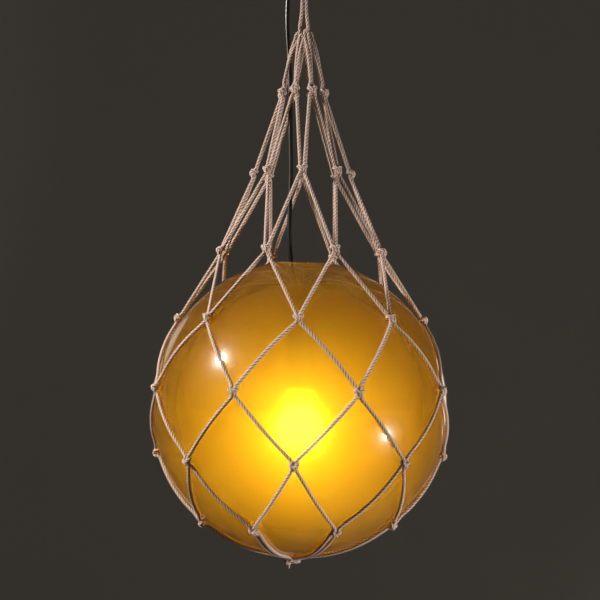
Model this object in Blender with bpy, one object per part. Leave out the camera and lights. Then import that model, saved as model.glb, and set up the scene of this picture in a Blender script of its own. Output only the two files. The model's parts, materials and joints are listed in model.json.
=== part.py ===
"""A pendant lamp made from a glass float ball that hangs in a knotted net of twine.

The ceiling fitting is at the top, with the origin on the ceiling, and everything else hangs below it.
All sizes are in metres, angles in degrees, +Z is up and the front of the lamp looks along -Y.
"""

import math

import bmesh
import bpy
from mathutils import Vector

MM = 0.001
CLEARANCE = 0.3 * MM  # left between pieces that touch
MERGE = 0.001 * MM  # vertices closer than this are one
SHARP_ANGLE = 40.0

# The glass ball, in two halves
BALL_RADIUS = 150 * MM
GLASS_WALL = 3 * MM
MOUTH_ROOM = 4 * MM  # between the bulb and the mouth that it goes in through
BALL_TILT = 1.5  # it sits a little askew in its net
BALL_SIDES = 36
LOWER_BANDS = 7
UPPER_BANDS = 6

# The twine and its knots
TWINE_RADIUS = 1.9 * MM
KNOT_SPREAD = 2.6 * MM  # from a knot's middle to each strand that leaves it, sideways
KNOT_REACH = 4.3 * MM  # and up or down
KNOT_SIDE = 4.9 * MM  # how far its side lobes stand out
KNOT_BULGE = 3.8 * MM  # how far its front lobes stand out
TWINE_SIDES = 6

# The net, from the top row of knots down. A free row is (angle from the top of the ball, height above
# the glass as a share of the crown's), and the rows that lie on the ball have the angle alone.
MESHES = 8
FREE_ROWS = (
    (3.83, 0.7214),
    (11.4, 0.39),
    (28.9, 0.118),
)
DRAPED_ROWS = (54.6, 82.6, 108.6, 138.6)
ROWS = len(FREE_ROWS) + len(DRAPED_ROWS)
ROW_TWIST = -0.4  # the net turns this much from each row to the next
DRAPED_SEGMENTS = 3
DRAPE_ALLOWANCE = 0.65 * MM  # keeps the flats of a draped strand off the glass

# The crown, where the top meshes are threaded on the hanging cord
CROWN_LIFT = 238 * MM  # its top, above the top of the ball
CROWN_DEPTH = 9 * MM
CROWN_RADIUS = 7 * MM
CROWN_PARTING = 18.0  # half the angle between its front strands, so the cord has room at its sides
CROWN_SPLAY = 35.0  # how far from straight down they leave it
CROWN_FULLNESS = 1.6  # how round the shoulders below the crown are
CROWN_SEGMENTS = 4
SHOULDER_SHARE = 0.5  # of the crown's radius, at the edge of its domed top

# The closing knot below the ball, where the last meshes are drawn together
CLOSING_X = -7 * MM  # it sits a little to the left
CLOSING_RADIUS = 9 * MM
CLOSING_SEGMENTS = 6
CLOSING_DEPTH = 8 * MM
CLOSING_SHARE = 0.55  # of its radius, at the edge of its lower face
GATHER_LOBES = 4  # round the edge of the crown's top and of the closing knot's lower face

# The hanging cord, a closed loop of the same twine
CORD_DROP = 57 * MM  # from the loop's top to the top of the crown
CORD_SIDES = 6
CORD_STEPS = 4  # of a quarter turn over the hook
CORD_CORNER = 4.5 * MM  # how far its corners under the crown are cut
CORNER_SHARES = (0.3, 0.7)  # of that, in and up, where the corner bends in the middle
CORD_BESIDE = 0.5 * MM  # between the crown's sides and the cord
CORD_UNDER = 1.7 * MM  # between the crown and the cord below it
PAIR_GAP = 0.6 * MM  # between its two strands where they run side by side
JOIN_HEIGHT = 21 * MM  # above the crown, where they come together
SPREAD_SHARES = (0.55, 0.45)  # of their last width and of that height, where they spread
HOOK_REACH = 18 * MM  # below the hook's seat, where they come side by side

# The ceiling fitting
PLATE_RADIUS = 28 * MM
PLATE_THICKNESS = 3 * MM
PLATE_SIDES = 24
ROSE_RADIUS = 45 * MM
ROSE_HEIGHT = 22 * MM
ROSE_WALL = 1.5 * MM
ROSE_ROUNDING = 6 * MM
ROSE_SIDES = 24
ROSE_STEPS = 3
HOOK_WIRE = 2.5 * MM
HOOK_EYE = 9.5 * MM  # radius of the hook's bend, at the middle of its wire
HOOK_DROP = 7 * MM  # of its shank, below the rose
HOOK_BEND = 298.0  # degrees that the wire turns round the eye
HOOK_SIDES = 8
HOOK_STEPS = 14
HOOK_NECK = 3.3 * MM  # of the wire that already bends, above the eye
COLLAR_RADIUS = 7 * MM
COLLAR_HEIGHT = 2 * MM

# The cable and its grip
CABLE_RADIUS = 2.4 * MM
GRIP_LENGTH = 20 * MM
GRIP_TOP = 6.5 * MM
GRIP_BOTTOM = 4.2 * MM
GRIP_SHOULDER = 6 * MM
GRIP_SIDES = 12
CABLE_X = -16.4 * MM
CABLE_STEP = 13 * MM
CABLE_LEAD = 14 * MM  # the straight stretch below the grip
CABLE_ENTRY = 8 * MM  # and above the lampholder
# Its route between them, as (x, y, height above the ball's centre)
CABLE_ROUTE = (
    (-17.4 * MM, 0.0, 402 * MM),
    (-16.6 * MM, 0.2 * MM, 380 * MM),
    (-14.6 * MM, 0.4 * MM, 352 * MM),
    (-13.2 * MM, 0.6 * MM, 318 * MM),
    (-12.8 * MM, 0.8 * MM, 282 * MM),
    (-11.8 * MM, 0.6 * MM, 245 * MM),
    (-12.4 * MM, 0.4 * MM, 208 * MM),
    (-12.6 * MM, 0.2 * MM, 172 * MM),
    (-9.6 * MM, 0.0, 142 * MM),
    (-3.4 * MM, 0.0, 119 * MM),
)

# The lampholder and the bulb
BULB_RADIUS = 30 * MM
BULB_DROP = 28 * MM  # of the middle of its round part, below the ball's centre
BULB_NECK = 15.5 * MM
BULB_NECK_TOP = 47 * MM  # above the middle of the round part
BULB_NECK_ANGLE = 40.0
BULB_SIDES = 16
BULB_STEPS = 7
CAP_RADIUS = 13.2 * MM
CAP_LENGTH = 24 * MM
CAP_SHOULDER = 3 * MM
CAP_TIP = 6 * MM
CAP_ROOM = 2 * MM  # between the cap and the roof of the lampholder's bore
HOLDER_RADIUS = 19 * MM
HOLDER_WALL = 2.5 * MM
HOLDER_LENGTH = 62 * MM
HOLDER_DOME = 12 * MM
DOME_SHARES = (0.75, 0.5)  # of the holder's radius and of the dome's height, at the dome's edge
NIPPLE_SHARE = 0.7  # of the dome's height, where the nipple starts
HOLDER_NIPPLE = 5 * MM
HOLDER_SIDES = 20

# Worked out from the sizes above, from the ceiling down
MOUTH_RADIUS = BULB_RADIUS + MOUTH_ROOM
REST_RADIUS = BALL_RADIUS + TWINE_RADIUS + CLEARANCE + DRAPE_ALLOWANCE
HOOK_SEAT_Z = -(ROSE_HEIGHT + CLEARANCE + COLLAR_HEIGHT + HOOK_DROP + 2 * HOOK_EYE)
LOOP_TOP_Z = HOOK_SEAT_Z + HOOK_WIRE + CLEARANCE + TWINE_RADIUS
CROWN_Z = LOOP_TOP_Z - CORD_DROP
CENTRE_Z = CROWN_Z - CROWN_LIFT - BALL_RADIUS


def clear_scene():
    for thing in list(bpy.data.objects):
        bpy.data.objects.remove(thing)


def make_material(name, hex_colour, roughness, metallic=0.0, transmission=0.0):
    """A plain Principled material, from an sRGB colour such as "c8a078"."""
    channels = [int(hex_colour[i : i + 2], 16) / 255 for i in (0, 2, 4)]
    linear = [c / 12.92 if c < 0.04045 else ((c + 0.055) / 1.055) ** 2.4 for c in channels]
    material = bpy.data.materials.new(name)
    material.use_nodes = True
    shader = material.node_tree.nodes["Principled BSDF"]
    shader.inputs["Base Color"].default_value = (*linear, 1.0)
    shader.inputs["Roughness"].default_value = roughness
    shader.inputs["Metallic"].default_value = metallic
    shader.inputs["Transmission Weight"].default_value = transmission
    return material


def make_empty(name, height):
    empty = bpy.data.objects.new(name, None)
    empty.location = (0.0, 0.0, height)
    bpy.context.collection.objects.link(empty)
    return empty


def place(name, data, material, parent):
    """Puts a mesh or curve in the scene as one named piece below its empty."""
    data.materials.append(material)
    piece = bpy.data.objects.new(name, data)
    bpy.context.collection.objects.link(piece)
    piece.parent = parent
    return piece


def mesh_from(bm, name):
    """Closes the bmesh off as a mesh with its faces pointing out, smooth but for its sharp edges."""
    bmesh.ops.recalc_face_normals(bm, faces=bm.faces)
    mesh = bpy.data.meshes.new(name)
    bm.to_mesh(mesh)
    bm.free()
    mesh.shade_smooth()
    mesh.set_sharp_from_angle(angle=math.radians(SHARP_ANGLE))
    return mesh


def spin_profile(bm, profile, sides, closed=False):
    """Spins a profile of (radius, height) points about Z."""
    verts = [bm.verts.new((radius, 0.0, height)) for radius, height in profile]
    edges = [bm.edges.new(pair) for pair in zip(verts, verts[1:])]
    if closed:
        edges.append(bm.edges.new((verts[-1], verts[0])))
    bmesh.ops.spin(
        bm,
        geom=verts + edges,
        cent=(0.0, 0.0, 0.0),
        axis=(0.0, 0.0, 1.0),
        angle=2 * math.pi,
        steps=sides,
        use_merge=True,
    )
    bmesh.ops.remove_doubles(bm, verts=bm.verts, dist=MERGE)


def turned(name, profile, sides, closed=False):
    """A turned piece. A profile that isn't closed starts and ends on the axis."""
    bm = bmesh.new()
    spin_profile(bm, profile, sides, closed)
    return mesh_from(bm, name)


def arc(centre, radius, start, end, steps):
    """Points (radius, height) on an arc, by angles in degrees from +X towards +Z."""
    points = []
    for i in range(steps + 1):
        angle = math.radians(start + (end - start) * i / steps)
        points.append((centre[0] + radius * math.cos(angle), centre[1] + radius * math.sin(angle)))
    return points


def ring(centre, along, outward, radius, sides):
    """The corners of a strand's cross-section, which faces along and has its first axis across."""
    across = along.cross(outward).normalized()
    rise = across.cross(along).normalized()
    corners = []
    for i in range(sides):
        angle = 2 * math.pi * i / sides
        corners.append(centre + radius * (math.cos(angle) * across + math.sin(angle) * rise))
    return corners


def stitch(bm, rings, closed=False):
    """Joins rings of vertices into a tube with open ends, or into a loop."""
    followers = rings[1:] + rings[:1] if closed else rings[1:]
    for here, there in zip(rings, followers):
        for i in range(len(here)):
            j = (i + 1) % len(here)
            bm.faces.new((here[i], here[j], there[j], there[i]))


def strand_rings(bm, points, outwards, radius, sides, closed=False, leave=None):
    """Rings of vertices along a path, each square to it, but the first one to leave if given."""
    rings = []
    last = len(points) - 1
    for i, point in enumerate(points):
        before = points[i - 1] if i or closed else point
        after = points[(i + 1) % len(points)] if i < last or closed else point
        along = leave if leave and i == 0 else (after - before).normalized()
        corners = ring(point, along, outwards[i], radius, sides)
        rings.append([bm.verts.new(corner) for corner in corners])
    return rings


def fill_knot(bm, rings, lobes):
    """Closes the ends of several strands with the convex body between them, bulged out to the lobes."""
    owners = []
    scratch = bmesh.new()
    for number, corners in enumerate(rings):
        for vert in corners:
            copy = scratch.verts.new(vert.co / MM)
            owners.append((copy, vert, number))
    for lobe in lobes:
        copy = scratch.verts.new(lobe / MM)
        owners.append((copy, bm.verts.new(lobe), None))
    bmesh.ops.convex_hull(scratch, input=[copy for copy, _, _ in owners], use_existing_faces=False)
    original = {copy: (vert, number) for copy, vert, number in owners}
    for face in scratch.faces:
        corners = [original[vert] for vert in face.verts]
        numbers = {number for _, number in corners}
        is_strand_end = len(numbers) == 1 and None not in numbers
        if not is_strand_end:
            bm.faces.new([vert for vert, _ in corners])
    scratch.free()
    loose = [vert for _, vert, _ in owners if vert.is_valid and not vert.link_faces]
    bmesh.ops.delete(bm, geom=loose, context="VERTS")


class Knot:
    """One knot of the net: its middle, and the directions across, up and out of the net there."""

    def __init__(self, row, column):
        radius, height = row_profile(row)
        azimuth = row_azimuth(row, column)
        radial = Vector((math.sin(azimuth), -math.cos(azimuth), 0.0))
        self.across = Vector((math.cos(azimuth), math.sin(azimuth), 0.0))
        self.middle = radius * radial + Vector((0.0, 0.0, height))
        above = row_profile(max(row - 1, 0))
        below = row_profile(min(row + 1, ROWS - 1))
        slope = Vector((above[0] - below[0], above[1] - below[1])).normalized()
        self.up = slope.x * radial + Vector((0.0, 0.0, slope.y))
        if row >= len(FREE_ROWS):
            self.up = self.across.cross(-self.middle.normalized()).normalized()
        self.out = self.across.cross(self.up)
        self.rings = []

    def exit(self, side, rise):
        """Where a strand leaves: side is -1, 0 or 1, rise is 1 at the top and -1 at the bottom."""
        return self.middle + side * KNOT_SPREAD * self.across + rise * KNOT_REACH * self.up

    def lobes(self):
        """The furthest points of the knot's two sides and of the two turns of twine on its front."""
        points = []
        for sign in (-1, 1):
            points.append(self.middle + sign * KNOT_SIDE * self.across + TWINE_RADIUS / 2 * self.out)
            points.append(self.middle + sign * KNOT_SPREAD * self.across + KNOT_BULGE * self.out)
        return points


def row_profile(row):
    """The (radius, height) of a row of knots, from the ball's centre."""
    if row < len(FREE_ROWS):
        angle, share = FREE_ROWS[row]
        distance = BALL_RADIUS + share * CROWN_LIFT
    else:
        angle = DRAPED_ROWS[row - len(FREE_ROWS)]
        distance = REST_RADIUS
    angle = math.radians(angle)
    return distance * math.sin(angle), distance * math.cos(angle)


def row_azimuth(row, column):
    """The turn of a knot from the front, in radians. Each row is half a mesh round from the last."""
    half_meshes = 2 * column + (1 if row % 2 == 0 else 0)
    return math.pi * half_meshes / MESHES + math.radians(ROW_TWIST * row)


def lay_on_ball(point):
    """Moves a point that would be in the glass out to where a strand rests on it."""
    return point.normalized() * REST_RADIUS if point.length < REST_RADIUS else point


def add_strand(bm, points, start_knot, end_knot, leave=None):
    """A strand between two knots, whose end rings the knots keep."""
    last = len(points) - 1
    outwards = [start_knot.out.lerp(end_knot.out, i / last) for i in range(len(points))]
    rings = strand_rings(bm, points, outwards, TWINE_RADIUS, TWINE_SIDES, leave=leave)
    stitch(bm, rings)
    start_knot.rings.append(rings[0])
    end_knot.rings.append(rings[-1])


def add_leg(bm, upper, lower, side):
    """One side of a mesh, from a knot down to the next row, to the left (-1) or the right (1)."""
    start = upper.exit(side, -1)
    end = lower.exit(-side, 1)
    straight = [start.lerp(end, i / DRAPED_SEGMENTS) for i in range(DRAPED_SEGMENTS + 1)]
    draped = [lay_on_ball(point) for point in straight]
    if draped == straight:
        draped = [start, end]
    add_strand(bm, draped, upper, lower)


class Gather:
    """The crown or the closing knot, where strands come together in one body."""

    def __init__(self, out):
        self.out = out
        self.rings = []


def crown_azimuth(column):
    """Where a top strand leaves the crown, with room for the cord at the left and the right."""
    quarter = MESHES // 4
    spacing = 2 * CROWN_PARTING
    place_in_half = (column + quarter) % (MESHES // 2) - (MESHES // 2 - 1) / 2
    half = 0.0 if (column + quarter) % MESHES < MESHES // 2 else math.pi
    return half + math.radians(place_in_half * spacing)


def lobe_circle(radius, height):
    """Points round the axis, where the crown or the closing knot is rounded off."""
    points = []
    for i in range(GATHER_LOBES):
        azimuth = 2 * math.pi * (i + 0.5) / GATHER_LOBES
        points.append(Vector((radius * math.sin(azimuth), -radius * math.cos(azimuth), height)))
    return points


def add_crown(bm, top_knots):
    """The top strands, from the first row of knots up to the crown, and the crown itself."""
    crown_top = BALL_RADIUS + CROWN_LIFT
    start_height = crown_top - CROWN_DEPTH
    rings = []
    for column, knot in enumerate(top_knots):
        end = knot.exit(0, 1)
        end_radius = math.hypot(end.x, end.y)
        start_turn = crown_azimuth(column)
        end_turn = row_azimuth(0, column)
        turn = (end_turn - start_turn + math.pi) % (2 * math.pi) - math.pi
        points = []
        for i in range(CROWN_SEGMENTS + 1):
            t = i / CROWN_SEGMENTS
            radius = CROWN_RADIUS + (end_radius - CROWN_RADIUS) * (1 - (1 - t) ** CROWN_FULLNESS)
            azimuth = start_turn + turn * t
            height = start_height + (end.z - start_height) * t
            points.append(Vector((radius * math.sin(azimuth), -radius * math.cos(azimuth), height)))
        points[-1] = end
        radial = Vector((math.sin(start_turn), -math.cos(start_turn), 0.0))
        splay = math.radians(CROWN_SPLAY)
        leave = math.sin(splay) * radial - Vector((0.0, 0.0, math.cos(splay)))
        start = Gather(radial)
        add_strand(bm, points, start, knot, leave)
        rings += start.rings
    lobes = [Vector((0.0, 0.0, crown_top))]
    lobes += lobe_circle(SHOULDER_SHARE * CROWN_RADIUS, crown_top - TWINE_RADIUS)
    fill_knot(bm, rings, lobes)


def add_closing(bm, last_knots):
    """The strands under the ball, and the closing knot that draws them together."""
    middle = Vector((CLOSING_X, 0.0, 0.0))
    depth = math.sqrt(REST_RADIUS**2 - CLOSING_RADIUS**2)
    rings = []
    for knot in last_knots:
        end = knot.exit(0, -1)
        outward = end - middle
        outward.z = 0.0
        start = middle + CLOSING_RADIUS * outward.normalized() - Vector((0.0, 0.0, depth))
        straight = [start.lerp(end, i / CLOSING_SEGMENTS) for i in range(CLOSING_SEGMENTS + 1)]
        gather = Gather(-Vector((0.0, 0.0, 1.0)))
        add_strand(bm, [lay_on_ball(point) for point in straight], gather, knot)
        rings += gather.rings
    lobes = [middle - Vector((0.0, 0.0, depth + CLOSING_DEPTH))]
    lower_face = lobe_circle(CLOSING_SHARE * CLOSING_RADIUS, -depth - CLOSING_DEPTH + TWINE_RADIUS)
    lobes += [middle + point for point in lower_face]
    fill_knot(bm, rings, lobes)


def build_net():
    """The whole net as one body: knots, the strands between them, the crown and the closing knot."""
    bm = bmesh.new()
    rows = [[Knot(row, column) for column in range(MESHES)] for row in range(ROWS)]
    for row in range(ROWS - 1):
        shift = 0 if row % 2 == 0 else -1
        for column in range(MESHES):
            upper = rows[row][column]
            left = rows[row + 1][(column + shift) % MESHES]
            right = rows[row + 1][(column + shift + 1) % MESHES]
            add_leg(bm, upper, left, -1)
            add_leg(bm, upper, right, 1)
    add_crown(bm, rows[0])
    add_closing(bm, rows[-1])
    for row in rows:
        for knot in row:
            fill_knot(bm, knot.rings, knot.lobes())
    return mesh_from(bm, "rope_net")


def hip_angle(radius):
    """The angle above the hip at which the halves of the ball start, so that they don't quite touch."""
    return math.degrees(math.asin(CLEARANCE / 2 / radius))


def build_lower_ball():
    """The lower half of a blown ball with a wall of even thickness, parted at its hip."""
    inner = BALL_RADIUS - GLASS_WALL
    outside = arc((0.0, 0.0), BALL_RADIUS, -90, -hip_angle(BALL_RADIUS), LOWER_BANDS)
    inside = arc((0.0, 0.0), inner, -hip_angle(inner), -90, LOWER_BANDS)
    outside[0] = (0.0, -BALL_RADIUS)
    inside[-1] = (0.0, -inner)
    return turned("glass_ball_lower", outside + inside, BALL_SIDES)


def build_upper_ball():
    """The upper half, with a round mouth ground straight through its top."""
    inner = BALL_RADIUS - GLASS_WALL
    outer_rim = math.degrees(math.acos(MOUTH_RADIUS / BALL_RADIUS))
    inner_rim = math.degrees(math.acos(MOUTH_RADIUS / inner))
    outside = arc((0.0, 0.0), BALL_RADIUS, hip_angle(BALL_RADIUS), outer_rim, UPPER_BANDS)
    inside = arc((0.0, 0.0), inner, inner_rim, hip_angle(inner), UPPER_BANDS)
    return turned("glass_ball_upper", outside + inside, BALL_SIDES, closed=True)


def build_hanging_cord():
    """A closed loop: over the hook, down as a pair, and round the sides and bottom of the crown."""
    pair = TWINE_RADIUS + PAIR_GAP / 2
    over_hook = HOOK_WIRE + CLEARANCE + TWINE_RADIUS
    crown_side = CROWN_RADIUS * math.sin(math.radians(3 * CROWN_PARTING)) + TWINE_RADIUS
    beside = crown_side + TWINE_RADIUS + CORD_BESIDE
    under = CROWN_Z - CROWN_DEPTH - 2 * TWINE_RADIUS - CORD_UNDER
    hook_centre = LOOP_TOP_Z - over_hook
    half = []
    for i in range(CORD_STEPS + 1):
        angle = math.pi / 2 * i / CORD_STEPS
        half.append((over_hook * math.sin(angle), hook_centre + over_hook * math.cos(angle)))
    half.append((pair, hook_centre - HOOK_REACH))
    half.append((pair, CROWN_Z + JOIN_HEIGHT))
    half.append((SPREAD_SHARES[0] * beside, CROWN_Z + SPREAD_SHARES[1] * JOIN_HEIGHT))
    half.append((beside, CROWN_Z))
    half.append((beside, CROWN_Z - CROWN_DEPTH))
    half.append((beside - CORNER_SHARES[0] * CORD_CORNER, under + CORNER_SHARES[1] * CORD_CORNER))
    half.append((beside - CORD_CORNER, under))
    half.append((0.0, under))
    left = [(-x, z) for x, z in half[-2:0:-1]]
    points = [Vector((x, 0.0, z)) for x, z in half + left]
    outwards = [Vector((0.0, -1.0, 0.0))] * len(points)
    bm = bmesh.new()
    rings = strand_rings(bm, points, outwards, TWINE_RADIUS, CORD_SIDES, closed=True)
    stitch(bm, rings, closed=True)
    return mesh_from(bm, "hanging_cord")


def build_hook():
    """A round wire hook with a shank through the rose and a collar that holds the rose up."""
    top = -PLATE_THICKNESS - CLEARANCE
    collar_top = -ROSE_HEIGHT - CLEARANCE
    collar_bottom = collar_top - COLLAR_HEIGHT
    eye_top = collar_bottom - HOOK_DROP
    shank = [(0.0, top), (HOOK_WIRE, top), (HOOK_WIRE, collar_top), (COLLAR_RADIUS, collar_top)]
    shank += [(COLLAR_RADIUS, collar_bottom), (HOOK_WIRE, collar_bottom)]
    bm = bmesh.new()
    spin_profile(bm, shank, HOOK_SIDES)
    points = [Vector((0.0, 0.0, eye_top + HOOK_NECK))]
    bend = arc((0.0, eye_top - HOOK_EYE), HOOK_EYE, 90, 90 - HOOK_BEND, HOOK_STEPS)
    points += [Vector((0.0, y, z)) for y, z in bend[1:]]
    open_edges = [edge for edge in bm.edges if len(edge.link_faces) == 1]
    previous = list({vert for edge in open_edges for vert in edge.verts})
    previous.sort(key=lambda vert: math.atan2(vert.co.y, vert.co.x))
    angles = [math.atan2(vert.co.y, vert.co.x) for vert in previous]
    across = Vector((1.0, 0.0, 0.0))
    for i, point in enumerate(points):
        before = points[i - 1] if i else Vector((0.0, 0.0, collar_top))
        after = points[i + 1] if i + 1 < len(points) else point
        rise = (after - before).normalized().cross(across)
        corners = []
        for angle in angles:
            corner = point + HOOK_WIRE * (math.cos(angle) * across - math.sin(angle) * rise)
            corners.append(bm.verts.new(corner))
        stitch(bm, [previous, corners])
        previous = corners
    bm.faces.new(previous)
    return mesh_from(bm, "hook")


def build_rose():
    """A spun cup, open towards the ceiling, with a hole for the hook's shank."""
    inner = ROSE_RADIUS - ROSE_WALL
    hole = HOOK_WIRE + CLEARANCE
    floor = -ROSE_HEIGHT + ROSE_WALL
    outer_bend = (ROSE_RADIUS - ROSE_ROUNDING, -ROSE_HEIGHT + ROSE_ROUNDING)
    rounding = ROSE_ROUNDING - ROSE_WALL
    profile = [(hole, -ROSE_HEIGHT)]
    profile += arc(outer_bend, ROSE_ROUNDING, -90, 0, ROSE_STEPS)
    profile += [(ROSE_RADIUS, 0.0), (inner, 0.0)]
    profile += arc((inner - rounding, floor + rounding), rounding, 0, -90, ROSE_STEPS)
    profile += [(hole, floor)]
    return turned("ceiling_rose", profile, ROSE_SIDES, closed=True)


def build_plate():
    profile = [(0.0, -PLATE_THICKNESS), (PLATE_RADIUS, -PLATE_THICKNESS), (PLATE_RADIUS, 0.0), (0.0, 0.0)]
    return turned("ceiling_plate", profile, PLATE_SIDES)


def build_grip():
    """A tapered strain relief below the rose, round the top of the cable."""
    top = -ROSE_HEIGHT - CLEARANCE
    profile = [(0.0, top - GRIP_LENGTH), (GRIP_BOTTOM, top - GRIP_LENGTH)]
    profile += [(GRIP_TOP, top - GRIP_SHOULDER), (GRIP_TOP, top), (0.0, top)]
    return turned("cable_grip", profile, GRIP_SIDES)


def smooth_route(stations, step):
    """Points about step apart on a smooth curve through the stations."""
    points = []
    padded = [2 * stations[0] - stations[1]] + stations + [2 * stations[-1] - stations[-2]]
    for i in range(1, len(padded) - 2):
        p, q, r, s = padded[i - 1 : i + 3]
        count = max(1, round((r - q).length / step))
        for k in range(count):
            t = k / count
            square = (2 * p - 5 * q + 4 * r - s) * t**2
            cube = (3 * q - p - 3 * r + s) * t**3
            points.append((2 * q + (r - p) * t + square + cube) / 2)
    points.append(stations[-1])
    return points


def build_cable():
    """The electric cable, from the grip down through the net and the mouth to the lampholder."""
    top = Vector((CABLE_X, 0.0, -ROSE_HEIGHT - 2 * CLEARANCE - GRIP_LENGTH))
    bottom = Vector((0.0, 0.0, CENTRE_Z + holder_top() + CLEARANCE))
    stations = [top, top - Vector((0.0, 0.0, CABLE_LEAD))]
    stations += [Vector((x, y, CENTRE_Z + height)) for x, y, height in CABLE_ROUTE]
    stations += [bottom + Vector((0.0, 0.0, CABLE_ENTRY)), bottom]
    points = smooth_route(stations, CABLE_STEP)
    curve = bpy.data.curves.new("cable", "CURVE")
    curve.dimensions = "3D"
    curve.bevel_depth = CABLE_RADIUS
    curve.bevel_resolution = 2
    curve.use_fill_caps = True
    spline = curve.splines.new("POLY")
    spline.points.add(len(points) - 1)
    for spline_point, point in zip(spline.points, points):
        spline_point.co = (*point, 1.0)
    return curve


def holder_rim():
    """The height of the lampholder's lower rim above the ball's centre."""
    return BULB_NECK_TOP - BULB_DROP + CLEARANCE


def holder_top():
    return holder_rim() + HOLDER_LENGTH + HOLDER_DOME


def build_holder():
    """A moulded lampholder: a skirt round the bulb's cap, and a dome with a nipple for the cable."""
    rim = holder_rim()
    shoulder = rim + HOLDER_LENGTH
    bore = HOLDER_RADIUS - HOLDER_WALL
    roof = rim + CAP_LENGTH + CAP_ROOM
    profile = [(0.0, roof), (bore, roof), (bore, rim), (HOLDER_RADIUS, rim), (HOLDER_RADIUS, shoulder)]
    profile += [(DOME_SHARES[0] * HOLDER_RADIUS, shoulder + DOME_SHARES[1] * HOLDER_DOME)]
    profile += [(HOLDER_NIPPLE, shoulder + NIPPLE_SHARE * HOLDER_DOME), (HOLDER_NIPPLE, holder_top())]
    profile += [(0.0, holder_top())]
    return turned("lampholder", profile, HOLDER_SIDES)


def build_bulb():
    """A round bulb with its neck and screw cap, which stands inside the lampholder's skirt."""
    neck_top = BULB_NECK_TOP - BULB_DROP
    cap_top = neck_top + CAP_LENGTH
    profile = arc((0.0, -BULB_DROP), BULB_RADIUS, -90, BULB_NECK_ANGLE, BULB_STEPS)
    profile[0] = (0.0, -BULB_DROP - BULB_RADIUS)
    profile += [(BULB_NECK, neck_top), (CAP_RADIUS, neck_top + CAP_ROOM)]
    profile += [(CAP_RADIUS, cap_top - CAP_SHOULDER), (CAP_TIP, cap_top), (0.0, cap_top)]
    return turned("bulb", profile, BULB_SIDES)


def main():
    clear_scene()
    ceiling = make_empty("ceiling", 0.0)
    centre = make_empty("ball_centre", CENTRE_Z)
    bronze = make_material("aged_brass", "6f5a3a", 0.4, metallic=1.0)
    black_plastic = make_material("black_plastic", "151413", 0.45)
    twine = make_material("twine", "c8a287", 0.85)
    amber = make_material("amber_glass", "c87f08", 0.15, transmission=0.8)
    opal = make_material("opal_glass", "fff3d0", 0.4)
    place("ceiling_plate", build_plate(), bronze, ceiling)
    place("ceiling_rose", build_rose(), bronze, ceiling)
    place("hook", build_hook(), bronze, ceiling)
    grip = place("cable_grip", build_grip(), black_plastic, ceiling)
    grip.location.x = CABLE_X
    place("cable", build_cable(), black_plastic, ceiling)
    place("hanging_cord", build_hanging_cord(), twine, ceiling)
    place("rope_net", build_net(), twine, centre)
    half_balls = (("glass_ball_lower", build_lower_ball()), ("glass_ball_upper", build_upper_ball()))
    for name, half_ball in half_balls:
        half = place(name, half_ball, amber, centre)
        half.rotation_euler = (0.0, math.radians(BALL_TILT), 0.0)
    place("lampholder", build_holder(), black_plastic, centre)
    place("bulb", build_bulb(), opal, centre)


main()
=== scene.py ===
# %% [markdown]
# # A lit lamp made from a glass float ball in a knotted net
#
# The real lamp is a hollow ball of amber glass with a mouth ground through its top. It hangs in a net of
# laid twine, and a bulb glows inside it. The construction model gives every piece its place and size, so
# this script only dresses it: it makes the twine, the glass, the light and the finish of each surface.

# %% Load the construction model
import json
import math

import bmesh
import bpy
from mathutils import Matrix, Quaternion, Vector

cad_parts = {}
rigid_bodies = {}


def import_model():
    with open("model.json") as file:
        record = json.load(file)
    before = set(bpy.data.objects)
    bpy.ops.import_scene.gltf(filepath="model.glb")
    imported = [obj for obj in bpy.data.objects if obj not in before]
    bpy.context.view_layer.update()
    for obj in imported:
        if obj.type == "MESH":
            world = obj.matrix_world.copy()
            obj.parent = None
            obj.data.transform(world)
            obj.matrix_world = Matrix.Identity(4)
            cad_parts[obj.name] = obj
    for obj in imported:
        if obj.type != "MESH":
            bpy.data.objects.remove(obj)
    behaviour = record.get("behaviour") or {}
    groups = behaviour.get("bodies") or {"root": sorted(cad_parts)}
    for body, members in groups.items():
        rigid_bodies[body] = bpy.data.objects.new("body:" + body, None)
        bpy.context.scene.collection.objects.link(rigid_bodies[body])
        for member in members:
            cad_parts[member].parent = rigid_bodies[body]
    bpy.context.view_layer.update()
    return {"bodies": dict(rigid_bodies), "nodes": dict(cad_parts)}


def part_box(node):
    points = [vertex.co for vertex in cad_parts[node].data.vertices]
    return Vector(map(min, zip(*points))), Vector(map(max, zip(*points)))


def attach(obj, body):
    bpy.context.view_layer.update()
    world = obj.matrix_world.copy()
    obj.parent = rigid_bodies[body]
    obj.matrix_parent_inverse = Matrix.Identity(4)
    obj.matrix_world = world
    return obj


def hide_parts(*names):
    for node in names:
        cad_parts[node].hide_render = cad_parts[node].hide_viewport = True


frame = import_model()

MM = 0.001
TOUCH_GAP = 0.3 * MM  # left between pieces that touch
BODY = list(frame["bodies"])[0]
print("body:", BODY, "nodes:", len(frame["nodes"]))

# %% [markdown]
# ## Small helpers
#
# Colours are written as the sRGB hex values that one would pick from a swatch, and one function turns
# them into the linear values that a shader expects. One function adds a node, sets it up and links it.
# The scale of a pattern comes from the size in millimetres of what it shows on the real piece.

# %% Colours, nodes and materials
def linear(hex_colour):
    """An sRGB colour such as "c8a287" as linear red, green, blue and alpha."""
    channels = [int(hex_colour[i : i + 2], 16) / 255 for i in (0, 2, 4)]
    curve = [c / 12.92 if c < 0.04045 else ((c + 0.055) / 1.055) ** 2.4 for c in channels]
    return (*curve, 1.0)


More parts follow.
